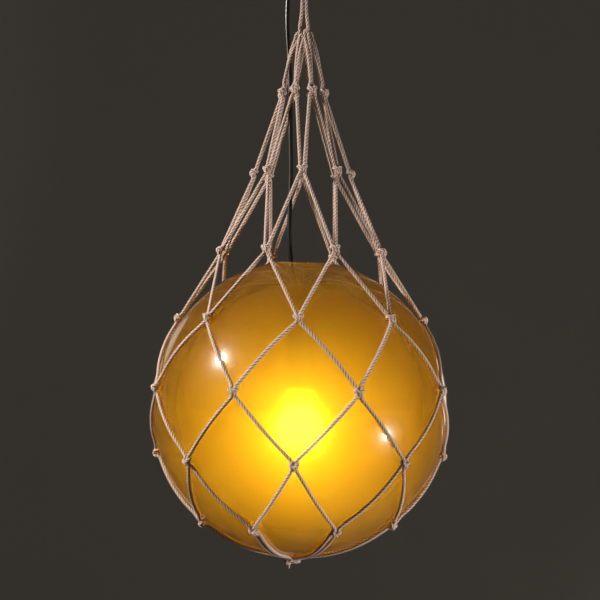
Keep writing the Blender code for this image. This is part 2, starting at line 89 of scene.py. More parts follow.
def add_node(tree, kind, inputs=None, **settings):
    """Adds a node. Each of its inputs is a plain value or the output of another node."""
    node = tree.nodes.new(kind)
    for name, value in settings.items():
        setattr(node, name, value)
    for name, value in (inputs or {}).items():
        if isinstance(value, bpy.types.NodeSocket):
            tree.links.new(value, node.inputs[name])
        else:
            node.inputs[name].default_value = value
    return node


def new_material(name, **values):
    """A material with one Principled shader, and plain values on the sockets that are named."""
    material = bpy.data.materials.new(name)
    material.use_nodes = True
    shader = material.node_tree.nodes["Principled BSDF"]
    for socket, value in values.items():
        shader.inputs[socket.replace("_", " ")].default_value = value
    return material, material.node_tree, shader


def pattern_scale(millimetres):
    """The scale of a noise texture whose features are about this large."""
    return 1 / (millimetres * MM)


# %% [markdown]
# Every piece is a mesh or curve whose object stays at the origin, so that patterns in Object coordinates
# stay put. Each one rides on the lamp's only body. Round pieces are turned, as on a lathe: a profile of
# radius and height is spun about the vertical axis.

# %% Putting pieces in the scene
def place(name, data, material, *nodes):
    """Makes a piece that rides on the body and stands for the nodes that are named."""
    if material:
        data.materials.append(material)
    piece = bpy.data.objects.new(name, data)
    bpy.context.scene.collection.objects.link(piece)
    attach(piece, BODY)
    if nodes:
        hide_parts(*nodes)
    return piece


def smooth_mesh(bm, name, sharp_angle=35):
    """A smooth-shaded mesh that keeps its sharp edges."""
    mesh = bpy.data.meshes.new(name)
    bm.to_mesh(mesh)
    bm.free()
    mesh.shade_smooth()
    mesh.set_sharp_from_angle(angle=math.radians(sharp_angle))
    return mesh


def arc(centre, radius, start, end, steps):
    """Points (radius, height) on an arc, by angles in degrees from the horizontal."""
    points = []
    for i in range(steps + 1):
        angle = math.radians(start + (end - start) * i / steps)
        points.append((centre[0] + radius * math.cos(angle), centre[1] + radius * math.sin(angle)))
    return points


def turned(name, profile, sides, closed=False):
    """Spins a profile of (radius, height) points about Z, with its faces pointing out."""
    bm = bmesh.new()
    verts = [bm.verts.new((radius, 0.0, height)) for radius, height in profile]
    edges = [bm.edges.new(pair) for pair in zip(verts, verts[1:])]
    if closed:
        edges.append(bm.edges.new((verts[-1], verts[0])))
    bmesh.ops.spin(
        bm,
        geom=verts + edges,
        cent=(0, 0, 0),
        axis=(0, 0, 1),
        angle=2 * math.pi,
        steps=sides,
        use_merge=True,
    )
    bmesh.ops.remove_doubles(bm, verts=bm.verts, dist=0.001 * MM)
    bmesh.ops.recalc_face_normals(bm, faces=bm.faces)
    return smooth_mesh(bm, name)


# %% [markdown]
# ## Where things are
#
# The ball's centre comes from the box of its node: the lowest point of the ball is one radius below it.

# %% The ball's centre
BALL_RADIUS = 150 * MM
BALL_TILT = math.radians(1.5)
ball_low = Vector(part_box("glass_ball_lower")[0])
CENTRE_Z = ball_low.z + BALL_RADIUS * math.cos(BALL_TILT)
CENTRE = Vector((0.0, 0.0, CENTRE_Z))
print("ball centre", round(CENTRE_Z / MM, 1), "mm")

# %% [markdown]
# ## The camera
#
# The photograph was taken with a long lens from straight ahead, a little above the ball's middle. The
# horizon lies below the middle of the picture, so the camera looks up slightly, and it leans a little.

# %% Camera
PICTURE = 600
FOCAL_PIXELS = 1463
HORIZON_ROW = 337
CAMERA_DISTANCE = 1.5
CAMERA_RISE = 71 * MM
CAMERA_LEAN = math.radians(0.6)
CAMERA_X = -1.1 * MM

lens = bpy.data.cameras.new("camera")
lens.sensor_width = 36
lens.lens = lens.sensor_width * FOCAL_PIXELS / PICTURE
camera = bpy.data.objects.new("camera", lens)
bpy.context.scene.collection.objects.link(camera)
look_up = math.atan((HORIZON_ROW - PICTURE / 2) / FOCAL_PIXELS)
camera.location = (CAMERA_X, -CAMERA_DISTANCE, CENTRE_Z + CAMERA_RISE)
camera.rotation_mode = "QUATERNION"
upright = Quaternion((1, 0, 0), math.pi / 2 + look_up)
camera.rotation_quaternion = upright @ Quaternion((0, 0, 1), CAMERA_LEAN)
bpy.context.scene.camera = camera
print("lens", round(lens.lens, 1), "mm")

# %% [markdown]
# ## The electric cable
#
# A thin black cable comes out of a tapered grip below the ceiling rose, runs down inside the net and
# goes into the top of the lampholder. A simulation could hang it, but both of its ends are held and its
# few gentle bends can be seen, so it is one smooth curve through given points.

# %% The cable's route
CABLE_DIAMETER = 4.8 * MM
CABLE_X = -16.4 * MM
CABLE_LEAD = 14 * MM  # the straight stretch below the grip
CABLE_ENTRY = 8 * MM  # and above the lampholder
CABLE_STEP = 3 * MM
# Its route between them, in millimetres to the right, back, and up from the ball's centre
CABLE_ROUTE = (
    (-17.4, 0.0, 402),
    (-16.6, 0.2, 380),
    (-14.6, 0.4, 352),
    (-13.2, 0.6, 318),
    (-12.8, 0.8, 282),
    (-11.8, 0.6, 245),
    (-12.4, 0.4, 208),
    (-12.6, 0.2, 172),
    (-9.6, 0.0, 142),
    (-3.4, 0.0, 119),
)


def smooth_route(stations, step):
    """Points about step apart on a smooth curve through the stations."""
    points = []
    padded = [2 * stations[0] - stations[1]] + stations + [2 * stations[-1] - stations[-2]]
    for i in range(1, len(padded) - 2):
        p, q, r, s = padded[i - 1 : i + 3]
        count = max(1, round((r - q).length / step))
        for k in range(count):
            t = k / count
            square = (2 * p - 5 * q + 4 * r - s) * t**2
            cube = (3 * q - p - 3 * r + s) * t**3
            points.append((2 * q + (r - p) * t + square + cube) / 2)
    points.append(stations[-1])
    return points


def route_length(points):
    return sum((b - a).length for a, b in zip(points, points[1:]))


grip_low, grip_high = (Vector(corner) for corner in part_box("cable_grip"))
holder_low, holder_high = (Vector(corner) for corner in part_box("lampholder"))
cable_top = Vector((CABLE_X, 0.0, grip_low.z - TOUCH_GAP))
cable_bottom = Vector((0.0, 0.0, holder_high.z + TOUCH_GAP))
stations = [cable_top, cable_top - Vector((0.0, 0.0, CABLE_LEAD))]
stations += [Vector((x * MM, y * MM, CENTRE_Z + z * MM)) for x, y, z in CABLE_ROUTE]
stations += [cable_bottom + Vector((0.0, 0.0, CABLE_ENTRY)), cable_bottom]
cable_points = smooth_route(stations, CABLE_STEP)
print("cable", round(route_length(cable_points) / MM), "mm")

# %% [markdown]
# The sheath is black PVC, extruded round the wires. Extruded plastic is smooth, so it shows one soft
# highlight along its length, broken a little by the waves that the extruder leaves.

# %% Cable sheath
SHEATH_WAVES = 3.85  # millimetres
pvc, tree, shader = new_material("extruded_black_pvc", Roughness=0.28, Specular_IOR_Level=0.6)
where = add_node(tree, "ShaderNodeTexCoord")
drawn = add_node(
    tree,
    "ShaderNodeTexNoise",
    {"Vector": where.outputs["Object"], "Scale": pattern_scale(SHEATH_WAVES), "Detail": 2.0},
)
tone = add_node(
    tree,
    "ShaderNodeMix",
    {"Factor": drawn.outputs["Fac"], "A": linear("0a0a0a"), "B": linear("1c1b1a")},
    data_type="RGBA",
)
bump = add_node(
    tree,
    "ShaderNodeBump",
    {"Strength": 0.15, "Distance": 0.2 * MM, "Height": drawn.outputs["Fac"]},
)
tree.links.new(tone.outputs["Result"], shader.inputs["Base Color"])
tree.links.new(bump.outputs["Normal"], shader.inputs["Normal"])


def round_wire(name, radius, resolution, points):
    """A curve with a round section and closed ends."""
    curve = bpy.data.curves.new(name, "CURVE")
    curve.dimensions = "3D"
    curve.bevel_depth = radius
    curve.bevel_resolution = resolution
    curve.use_fill_caps = True
    spline = curve.splines.new("POLY")
    spline.points.add(len(points) - 1)
    for spline_point, point in zip(spline.points, points):
        spline_point.co = (*point, 1.0)
    return curve


cable = place("cable_sheath", round_wire("cable_sheath", CABLE_DIAMETER / 2, 6, cable_points), pvc, "cable")
print("cable sheath laid through", len(cable_points), "points")

# %% [markdown]
# ## The studio
#
# A plain pale floor sweeps up into a backdrop. The lamp hangs well above it. The floor reaches far to the
# front and the sides, so that its edge doesn't show when the lamp is looked at from behind.

# %% Floor and backdrop
FLOOR_DROP = 1.6
SWEEP_BACK = 2.8
SWEEP_RADIUS = 0.6
SWEEP_FRONT = 60.0
SWEEP_WIDTH = 60.0
SWEEP_HEIGHT = 4.6
floor_z = CENTRE_Z - BALL_RADIUS - FLOOR_DROP
sweep = [(-SWEEP_FRONT, floor_z)]
sweep += arc((SWEEP_BACK - SWEEP_RADIUS, floor_z + SWEEP_RADIUS), SWEEP_RADIUS, -90, 0, 24)
sweep.append((SWEEP_BACK, floor_z + SWEEP_HEIGHT))
bm = bmesh.new()
rows = [[bm.verts.new((x, y, z)) for y, z in sweep] for x in (-SWEEP_WIDTH, SWEEP_WIDTH)]
for i in range(len(sweep) - 1):
    bm.faces.new((rows[0][i], rows[1][i], rows[1][i + 1], rows[0][i + 1]))
paper, _, _ = new_material("rolled_paper", Base_Color=linear("cfcac2"), Roughness=0.9)
backdrop = bpy.data.objects.new("backdrop", smooth_mesh(bm, "backdrop"))
backdrop.data.materials.append(paper)
bpy.context.scene.collection.objects.link(backdrop)
print("backdrop", len(backdrop.data.polygons), "faces")

# %% [markdown]
# ## The lights
#
# The lamp is lit mostly by its own bulb. Two small soft boxes light the twine, with a faint third in front.
# They show in the glass as highlights, so the photograph's highlights set their directions. Two weak ones
# at the back draw the ball's edges. A honeycomb grid on each keeps its light off the backdrop.

# %% Lights
ROOM_LIGHT = 0.07
GRID_ANGLE = 70
world = bpy.data.worlds.new("studio")
world.use_nodes = True
room = world.node_tree.nodes["Background"]
room.inputs["Color"].default_value = linear("e8e6e2")
room.inputs["Strength"].default_value = ROOM_LIGHT
bpy.context.scene.world = world


def soft_box(name, direction, distance, size, power):
    """An area light that faces the ball from a direction (x, y, z)."""
    light = bpy.data.lights.new(name, "AREA")
    light.shape = "DISK"
    light.size = size
    light.energy = power
    light.color = linear("fff6ea")[:3]
    light.spread = math.radians(GRID_ANGLE)
    lamp = bpy.data.objects.new(name, light)
    away = Vector(direction).normalized()
    lamp.location = CENTRE + distance * away
    lamp.rotation_mode = "QUATERNION"
    lamp.rotation_quaternion = away.to_track_quat("Z", "Y")
    bpy.context.scene.collection.objects.link(lamp)


soft_box("left_box", (-0.819, -0.306, 0.489), 1.6, 0.14, 5.6)
soft_box("right_box", (0.906, -0.363, -0.272), 1.6, 0.1, 3.0)
soft_box("front_box", (0.503, -0.85, -0.023), 1.8, 0.05, 0.1)
soft_box("back_right_box", (0.52, 0.85, 0.0), 1.8, 0.5, 0.16)
soft_box("back_left_box", (-0.52, 0.83, 0.2), 1.8, 0.5, 0.07)
print("lights", len(bpy.data.lights))

# %% [markdown]
# ## The glass ball
#
# Blown soda-lime glass with a gloss outside and a satin etch inside, so that the bulb shows only as a soft
# glow. One material could do for both, but then the highlights would be as soft as the glow. So the two
# surfaces of the wall get a material each. Both are see-through by plain values.

# %% Amber glass
GLASS_IOR = 1.5
SATIN_IOR = 1.75  # more than glass, because the etched grains bend light more than a flat face does
SATIN_GRAIN = 0.2  # millimetres: real grains are far finer, but those wouldn't show
ETCHED = 0.85
UNETCHED = 0.2  # the roughness of the few grains that the acid left smooth
COLOUR_CLOUDS = 55.6  # millimetres, the drifts of colour in the melt
PAINTED_WALL_GLOW = 0.07  # painted glow: it stands in for light that has been through the wall many times and comes out of all of it

# Flame-polished: crisp highlights, with a thin veil round them from handling
clear_face, _, _ = new_material(
    "blown_amber_glass",
    Base_Color=linear("ffdc48"),
    Roughness=0.07,
    IOR=GLASS_IOR,
    Transmission_Weight=1.0,
    Coat_Weight=0.22,
    Coat_Roughness=0.25,
)
# Acid-etched: it blurs the bulb into a glow, and its emission adds a painted glow over the whole face
satin_face, tree, shader = new_material(
    "satin_amber_glass",
    Specular_Tint=linear("f0a020"),
    IOR=SATIN_IOR,
    Transmission_Weight=1.0,
    # painted glow in amber, the same over the whole satin face
    Emission_Color=linear("905505"),
    Emission_Strength=PAINTED_WALL_GLOW,
)
where = add_node(tree, "ShaderNodeTexCoord")
grains = add_node(
    tree,
    "ShaderNodeTexNoise",
    {"Vector": where.outputs["Object"], "Scale": pattern_scale(SATIN_GRAIN), "Detail": 0.0},
)
polish = add_node(
    tree,
    "ShaderNodeMapRange",
    {"Value": grains.outputs["Fac"], "From Min": 0.54, "From Max": 0.6, "To Min": ETCHED, "To Max": UNETCHED},
)
tree.links.new(polish.outputs["Result"], shader.inputs["Roughness"])
cloud = add_node(
    tree,
    "ShaderNodeTexNoise",
    {"Vector": where.outputs["Object"], "Scale": pattern_scale(COLOUR_CLOUDS), "Detail": 4.0},
)
amber = add_node(
    tree,
    "ShaderNodeMix",
    {"Factor": cloud.outputs["Fac"], "A": linear("cc920a"), "B": linear("cc9a10")},
    data_type="RGBA",
)
tree.links.new(amber.outputs["Result"], shader.inputs["Base Color"])
# Ground with a wheel: matt and pale round the mouth
ground_face, _, _ = new_material(
    "ground_glass_edge",
    Base_Color=linear("ffd98c"),
    Roughness=0.45,
    IOR=GLASS_IOR,
    Transmission_Weight=1.0,
)
print("glass", clear_face.name, satin_face.name, ground_face.name)

# %% [markdown]
# The ball is one profile, spun about its axis: up the outside, over the rim of the mouth and down the
# inside. So its wall has a true thickness, which see-through glass needs to bend light as it does.

# %% The ball
GLASS_WALL = 3 * MM
MOUTH_RADIUS = 34 * MM
BALL_STEPS = 72
inner_radius = BALL_RADIUS - GLASS_WALL
outer_rim = math.degrees(math.acos(MOUTH_RADIUS / BALL_RADIUS))
inner_rim = math.degrees(math.acos(MOUTH_RADIUS / inner_radius))
outside = arc((0, 0), BALL_RADIUS, -90, outer_rim, BALL_STEPS)
outside[0] = (0.0, -BALL_RADIUS)
inside = arc((0, 0), inner_radius, inner_rim, -90, BALL_STEPS)
inside[-1] = (0.0, -inner_radius)
ball_mesh = turned("float_ball", outside + inside, 2 * BALL_STEPS)
for face in (clear_face, satin_face, ground_face):
    ball_mesh.materials.append(face)
for polygon in ball_mesh.polygons:
    on_rim = polygon.center.z > 0 and abs(polygon.normal.z) < 0.01
    if on_rim:
        polygon.material_index = 2
    elif polygon.center.length < BALL_RADIUS - GLASS_WALL / 2:
        polygon.material_index = 1
ball_mesh.transform(Matrix.Translation(CENTRE) @ Matrix.Rotation(BALL_TILT, 4, "Y"))
ball = place("float_ball", ball_mesh, None, "glass_ball_lower", "glass_ball_upper")
print("ball", len(ball_mesh.polygons), "faces")

# %% [markdown]
# ## The bulb and its holder
#
# The bulb's opal glass glows all over, but less at its underside, which is furthest from the light inside,
# and at its neck, which stands in the holder. So its strength is set by height. Behind the satin glass that
# gives a round glow with no hard edge.

# %% The bulb's glow
BULB_RADIUS = 30 * MM
BULB_DROP = 28 * MM  # of the middle of its round part, below the ball's centre
BULB_BRIGHTEST = 47.0
BULB_DIMMEST = 1.5
NECK_SHARE = 0.15  # of the glow is left at the neck
bulb_centre = CENTRE_Z - BULB_DROP
opal, tree, shader = new_material(
    "opal_glass", Base_Color=linear("fff4dc"), Roughness=0.35, Emission_Color=linear("fff0c8")
)
where = add_node(tree, "ShaderNodeTexCoord")
axes = add_node(tree, "ShaderNodeSeparateXYZ", {"Vector": where.outputs["Object"]})
lit = add_node(
    tree,
    "ShaderNodeMapRange",
    {
        "Value": axes.outputs["Z"],
        "From Min": bulb_centre - BULB_RADIUS,
        "From Max": bulb_centre,
        "To Min": BULB_DIMMEST,
        "To Max": BULB_BRIGHTEST,
    },
)
shaded_neck = add_node(
    tree,
    "ShaderNodeMapRange",
    {
        "Value": axes.outputs["Z"],
        "From Min": bulb_centre + 0.45 * BULB_RADIUS,
        "From Max": bulb_centre + 1.15 * BULB_RADIUS,
        "To Min": 1.0,
        "To Max": NECK_SHARE,
    },
)
strength = add_node(
    tree,
    "ShaderNodeMath",
    {0: lit.outputs["Result"], 1: shaded_neck.outputs["Result"]},
    operation="MULTIPLY",
)
tree.links.new(strength.outputs[0], shader.inputs["Emission Strength"])
print("bulb's middle", round(bulb_centre / MM, 1), "mm")

# %% [markdown]
# The bulb is turned in one piece with its screw cap. The cap is rolled from thin brass and plated with
# nickel, so it is metal with a soft shine. Its thread is drawn as plain rings, because the holder hides it.

# %% Bulb and cap
BULB_NECK = ((18.6 * MM, 25 * MM), (16.2 * MM, 33 * MM))  # (radius, height above the round part's middle)
NECK_RADIUS = 15.5 * MM
CAP_RADIUS = 13.2 * MM
CAP_START = 2 * MM
CAP_END_RADIUS = 7 * MM
CONTACT_RADIUS = 4.5 * MM
CONTACT_HEIGHT = 2 * MM
THREAD_DEPTH = 0.8 * MM
THREAD_PITCH = 3.6 * MM
THREADS = 5
bulb_high = Vector(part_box("bulb")[1])
neck_top = holder_low.z - TOUCH_GAP
nickel, _, _ = new_material(
    "nickel_plated_brass", Base_Color=linear("c9c5bb"), Metallic=1.0, Roughness=0.3
)
profile = arc((0.0, bulb_centre), BULB_RADIUS, -90, 40, 24)
profile[0] = (0.0, bulb_centre - BULB_RADIUS)
profile += [(radius, bulb_centre + height) for radius, height in BULB_NECK]
profile.append((NECK_RADIUS, neck_top))
thread_low = neck_top + CAP_START
profile.append((CAP_RADIUS, thread_low))
for i in range(THREADS):
    low = thread_low + i * THREAD_PITCH
    profile.append((CAP_RADIUS - THREAD_DEPTH, low + 0.3 * THREAD_PITCH))
    profile.append((CAP_RADIUS, low + 0.8 * THREAD_PITCH))
profile.append((CAP_END_RADIUS, bulb_high.z - CONTACT_HEIGHT))
profile += [(CONTACT_RADIUS, bulb_high.z), (0.0, bulb_high.z)]
bulb_mesh = turned("opal_bulb", profile, 64)
bulb = place("opal_bulb", bulb_mesh, opal, "bulb")
bulb_mesh.materials.append(nickel)
for polygon in bulb_mesh.polygons:
    if polygon.center.z > neck_top + CAP_START / 2:
        polygon.material_index = 1
print("bulb", len(bulb_mesh.polygons), "faces")

# %% [markdown]
# The holder is moulded in one dark shell: a skirt with grip rings round the bulb's cap, and a dome with a
# nipple that clamps the cable. Phenolic resin is filled with wood flour, which leaves faint brown clouds
# in the black, and it comes out of the mould with a soft gloss.

# %% Lampholder
HOLDER_RADIUS = 19 * MM
HOLDER_BORE = 16.5 * MM
HOLDER_DOME = 12 * MM
DOME_ROUNDING = 6 * MM
SKIRT_HEIGHT = 26 * MM
NIPPLE_RADIUS = 5 * MM
NIPPLE_CHAMFER = 0.6 * MM
GRIP_RINGS = 5
RING_DEPTH = 0.9 * MM
FLOUR_CLOUDS = 7.14  # millimetres
phenolic, tree, shader = new_material("moulded_phenolic", Roughness=0.35)
where = add_node(tree, "ShaderNodeTexCoord")
flow = add_node(
    tree,
    "ShaderNodeTexNoise",
    {"Vector": where.outputs["Object"], "Scale": pattern_scale(FLOUR_CLOUDS), "Detail": 3.0},
)
tone = add_node(
    tree,
    "ShaderNodeMix",
    {"Factor": flow.outputs["Fac"], "A": linear("121110"), "B": linear("262320")},
    data_type="RGBA",
)
tree.links.new(tone.outputs["Result"], shader.inputs["Base Color"])


def ringed(radius_low, low, radius_high, high, rings, depth):
    """A profile that rises in rings, with a groove after each of them."""
    points = []
    for i in range(rings):
        for share, sink in ((0.0, 0.3), (0.12, 0.0), (0.7, 0.0), (0.8, 1.0), (0.94, 1.0)):
            t = (i + share) / rings
            radius = radius_low + (radius_high - radius_low) * t
            points.append((radius - sink * depth, low + (high - low) * t))
    return points


roof = holder_low.z + SKIRT_HEIGHT
shoulder = holder_high.z - HOLDER_DOME
profile = [(0.0, roof), (HOLDER_BORE, roof), (HOLDER_BORE, holder_low.z)]
profile += ringed(HOLDER_RADIUS, holder_low.z, HOLDER_RADIUS, roof, GRIP_RINGS, RING_DEPTH)
profile += [(HOLDER_RADIUS, roof + 1 * MM), (HOLDER_RADIUS, shoulder - 1 * MM)]
profile += arc((HOLDER_RADIUS - DOME_ROUNDING, shoulder), DOME_ROUNDING, 0, 70, 8)
profile += [(NIPPLE_RADIUS, shoulder + 0.7 * HOLDER_DOME)]
profile += [(NIPPLE_RADIUS, holder_high.z - NIPPLE_CHAMFER)]
profile += [(NIPPLE_RADIUS - NIPPLE_CHAMFER, holder_high.z), (0.0, holder_high.z)]
holder = place("lampholder_shell", turned("lampholder_shell", profile, 72), phenolic, "lampholder")
print("lampholder", len(holder.data.polygons), "faces")

# %% [markdown]
# ## The twine
#
# Jute twine is laid from three strands. Its fibres run along it and lie at many shades of straw. The grooves
# between the strands are darkened in the colour, as painted shade. It has no gloss, only a faint bloom of
# loose fibres where it is seen at a slant, which sheen gives. The fibres' pattern follows the twine's own UV
# map.

# %% Jute
FIBRE = 2.38  # millimetres along: real fibres are longer and finer, but those wouldn't show
FIBRES_ACROSS = 6.0  # how many lie side by side in that length
BATCH_SHADES = 28.6  # millimetres
twine, tree, shader = new_material("laid_jute_twine", Roughness=0.9, Sheen_Weight=0.25, Sheen_Roughness=0.5)
where = add_node(tree, "ShaderNodeTexCoord")
stretch = add_node(
    tree, "ShaderNodeMapping", {"Vector": where.outputs["UV"], "Scale": (FIBRES_ACROSS, 1.0, 1.0)}
)
fibres = add_node(
    tree,
    "ShaderNodeTexNoise",
    {"Vector": stretch.outputs["Vector"], "Scale": pattern_scale(FIBRE), "Detail": 3.0},
)
batch = add_node(
    tree,
    "ShaderNodeTexNoise",
    {"Vector": where.outputs["Object"], "Scale": pattern_scale(BATCH_SHADES), "Detail": 2.0},
)
tone = add_node(
    tree,
    "ShaderNodeMix",
    {"Factor": fibres.outputs["Fac"], "A": linear("9f8073"), "B": linear("e6d6ce")},
    data_type="RGBA",
)
faded = add_node(
    tree,
    "ShaderNodeMix",
    {"Factor": batch.outputs["Fac"], "A": tone.outputs["Result"], "B": linear("dcc1b4")},
    data_type="RGBA",
)
# Painted shade: the colour darkens towards 5c4036 in the grooves, where the crest is low
crest = add_node(tree, "ShaderNodeAttribute", attribute_name="crest")
height = add_node(
    tree,
    "ShaderNodeMapRange",
    {"Value": crest.outputs["Fac"], "From Min": 0.1, "From Max": 0.75, "To Min": 0.0, "To Max": 1.0},
)
painted_groove_shade = add_node(
    tree,
    "ShaderNodeMix",
    {"Factor": height.outputs["Result"], "A": linear("5c4036"), "B": faded.outputs["Result"]},
    data_type="RGBA",
)
bump = add_node(
    tree, "ShaderNodeBump", {"Strength": 0.5, "Distance": 0.25 * MM, "Height": fibres.outputs["Fac"]}
)
tree.links.new(painted_groove_shade.outputs["Result"], shader.inputs["Base Color"])
tree.links.new(bump.outputs["Normal"], shader.inputs["Normal"])
print("twine", FIBRE, "mm fibres")

# %% [markdown]
# A Geometry Nodes tree lays the twine: it takes the path of a thread, spaces rings of points along it,
# turns them steadily by the lay, and skins them with a three-lobed section. A curve with a bevel could give
# a plain cord, but not the lay. The same tree makes the net, the hanging cord and the closing below the
# ball, so its sizes are its inputs.

# %% The tree that lays twine
TWINE_RADIUS = 1.9 * MM
LAY_LENGTH = 12 * MM
RING_STEP = 1.2 * MM
RING_POINTS = 12
GROOVE_DEPTH = 0.3
STRANDS = 3


def build_laying_tree():
    tree = bpy.data.node_groups.new("lay_twine", "GeometryNodeTree")
    face = tree.interface
    face.new_socket("Geometry", in_out="INPUT", socket_type="NodeSocketGeometry")
    sizes = (
        ("Twine Radius", TWINE_RADIUS),
        ("Lay Length", LAY_LENGTH),
        ("Ring Step", RING_STEP),
        ("Groove Depth", GROOVE_DEPTH),
    )
    for name, value in sizes:
        socket = face.new_socket(name, in_out="INPUT", socket_type="NodeSocketFloat")
        socket.default_value = value
    socket = face.new_socket("Ring Points", in_out="INPUT", socket_type="NodeSocketInt")
    socket.default_value = RING_POINTS
    face.new_socket("Material", in_out="INPUT", socket_type="NodeSocketMaterial")
    face.new_socket("Geometry", in_out="OUTPUT", socket_type="NodeSocketGeometry")
    given = add_node(tree, "NodeGroupInput").outputs

    # The path: a smooth curve with evenly spaced rings, turned by the lay
    smooth = add_node(
        tree, "GeometryNodeCurveSplineType", {"Curve": given["Geometry"]}, spline_type="CATMULL_ROM"
    )
    spaced = add_node(
        tree,
        "GeometryNodeResampleCurve",
        {"Curve": smooth.outputs["Curve"], "Length": given["Ring Step"]},
        mode="LENGTH",
    )
    total = add_node(tree, "GeometryNodeSplineLength")
    lays = add_node(
        tree, "ShaderNodeMath", {0: total.outputs["Length"], 1: given["Lay Length"]}, operation="DIVIDE"
    )
    thirds = add_node(tree, "ShaderNodeMath", {0: lays.outputs[0], 1: float(STRANDS)}, operation="MULTIPLY")
    whole = add_node(tree, "ShaderNodeMath", {0: thirds.outputs[0]}, operation="ROUND")
    turns = add_node(
        tree, "ShaderNodeMath", {0: whole.outputs[0], 1: 2 * math.pi / STRANDS}, operation="MULTIPLY"
    )
    along = add_node(tree, "GeometryNodeSplineParameter")
    angle = add_node(
        tree, "ShaderNodeMath", {0: along.outputs["Factor"], 1: turns.outputs[0]}, operation="MULTIPLY"
    )
    twisted = add_node(
        tree, "GeometryNodeSetCurveTilt", {"Curve": spaced.outputs["Curve"], "Tilt": angle.outputs[0]}
    )
    marked = add_node(tree, "GeometryNodeCaptureAttribute", {"Geometry": twisted.outputs["Curve"]})
    marked.capture_items.new("FLOAT", "Metres")
    tree.links.new(along.outputs["Length"], marked.inputs["Metres"])

    # The section: a circle with a groove between each two strands
    circle = add_node(
        tree,
        "GeometryNodeCurvePrimitiveCircle",
        {"Resolution": given["Ring Points"], "Radius": given["Twine Radius"]},
        mode="RADIUS",
    )
    index = add_node(tree, "GeometryNodeInputIndex")
    share = add_node(
        tree, "ShaderNodeMath", {0: index.outputs[0], 1: given["Ring Points"]}, operation="DIVIDE"
    )
    around = add_node(
        tree, "ShaderNodeMath", {0: share.outputs[0], 1: STRANDS * math.pi}, operation="MULTIPLY"
    )
    wave = add_node(tree, "ShaderNodeMath", {0: around.outputs[0]}, operation="SINE")
    lobe = add_node(tree, "ShaderNodeMath", {0: wave.outputs[0]}, operation="ABSOLUTE")
    lowest = add_node(tree, "ShaderNodeMath", {0: 1.0, 1: given["Groove Depth"]}, operation="SUBTRACT")
    size = add_node(
        tree,
        "ShaderNodeMath",
        {0: lobe.outputs[0], 1: given["Groove Depth"], 2: lowest.outputs[0]},
        operation="MULTIPLY_ADD",
    )
    place_on_circle = add_node(tree, "GeometryNodeInputPosition")
    grooved_place = add_node(
        tree,
        "ShaderNodeVectorMath",
        {0: place_on_circle.outputs[0], "Scale": size.outputs[0]},
        operation="SCALE",
    )
    grooved = add_node(
        tree,
        "GeometryNodeSetPosition",
        {"Geometry": circle.outputs["Curve"], "Position": grooved_place.outputs[0]},
    )
    profile_mark = add_node(tree, "GeometryNodeCaptureAttribute", {"Geometry": grooved.outputs["Geometry"]})
    profile_mark.capture_items.new("FLOAT", "Share")
    tree.links.new(share.outputs[0], profile_mark.inputs["Share"])
    profile_mark.capture_items.new("FLOAT", "Crest")
    tree.links.new(lobe.outputs[0], profile_mark.inputs["Crest"])

    # The skin, with a UV map in metres: across the twine and back, and along it
    skin = add_node(
        tree,
        "GeometryNodeCurveToMesh",
        {
            "Curve": marked.outputs["Geometry"],
            "Profile Curve": profile_mark.outputs["Geometry"],
            "Fill Caps": True,
        },
    )
    back = add_node(
        tree,
        "ShaderNodeMath",
        {0: profile_mark.outputs["Share"], 1: 2.0, 2: -1.0},
        operation="MULTIPLY_ADD",
    )
    there = add_node(tree, "ShaderNodeMath", {0: back.outputs[0]}, operation="ABSOLUTE")
    half_girth = add_node(
        tree, "ShaderNodeMath", {0: given["Twine Radius"], 1: math.pi}, operation="MULTIPLY"
    )
    across = add_node(
        tree, "ShaderNodeMath", {0: there.outputs[0], 1: half_girth.outputs[0]}, operation="MULTIPLY"
    )
    uv = add_node(tree, "ShaderNodeCombineXYZ", {"X": across.outputs[0], "Y": marked.outputs["Metres"]})
    mapped = add_node(
        tree,
        "GeometryNodeStoreNamedAttribute",
        {"Geometry": skin.outputs["Mesh"], "Name": "UVMap", "Value": uv.outputs[0]},
        data_type="FLOAT2",
        domain="CORNER",
    )
    # The crest goes to the material, which paints shade into the grooves by it
    crested = add_node(
        tree,
        "GeometryNodeStoreNamedAttribute",
        {"Geometry": mapped.outputs["Geometry"], "Name": "crest", "Value": profile_mark.outputs["Crest"]},
        data_type="FLOAT",
        domain="POINT",
    )
    smoothed = add_node(tree, "GeometryNodeSetShadeSmooth", {"Geometry": crested.outputs["Geometry"]})
    real = add_node(tree, "GeometryNodeRealizeInstances", {"Geometry": smoothed.outputs["Geometry"]})
    dressed = add_node(
        tree,
        "GeometryNodeSetMaterial",
        {"Geometry": real.outputs["Geometry"], "Material": given["Material"]},
    )
    add_node(tree, "NodeGroupOutput", {"Geometry": dressed.outputs["Geometry"]})
    return tree


laying_tree = build_laying_tree()
print("laying tree", len(laying_tree.nodes), "nodes")

# %% [markdown]
# A thread is a list of points, each with the share of its radius that the twine has there, because twine
# is squeezed in a knot. Each piece's threads go into one curve, the tree lays them, and the result is kept
# as a plain mesh.

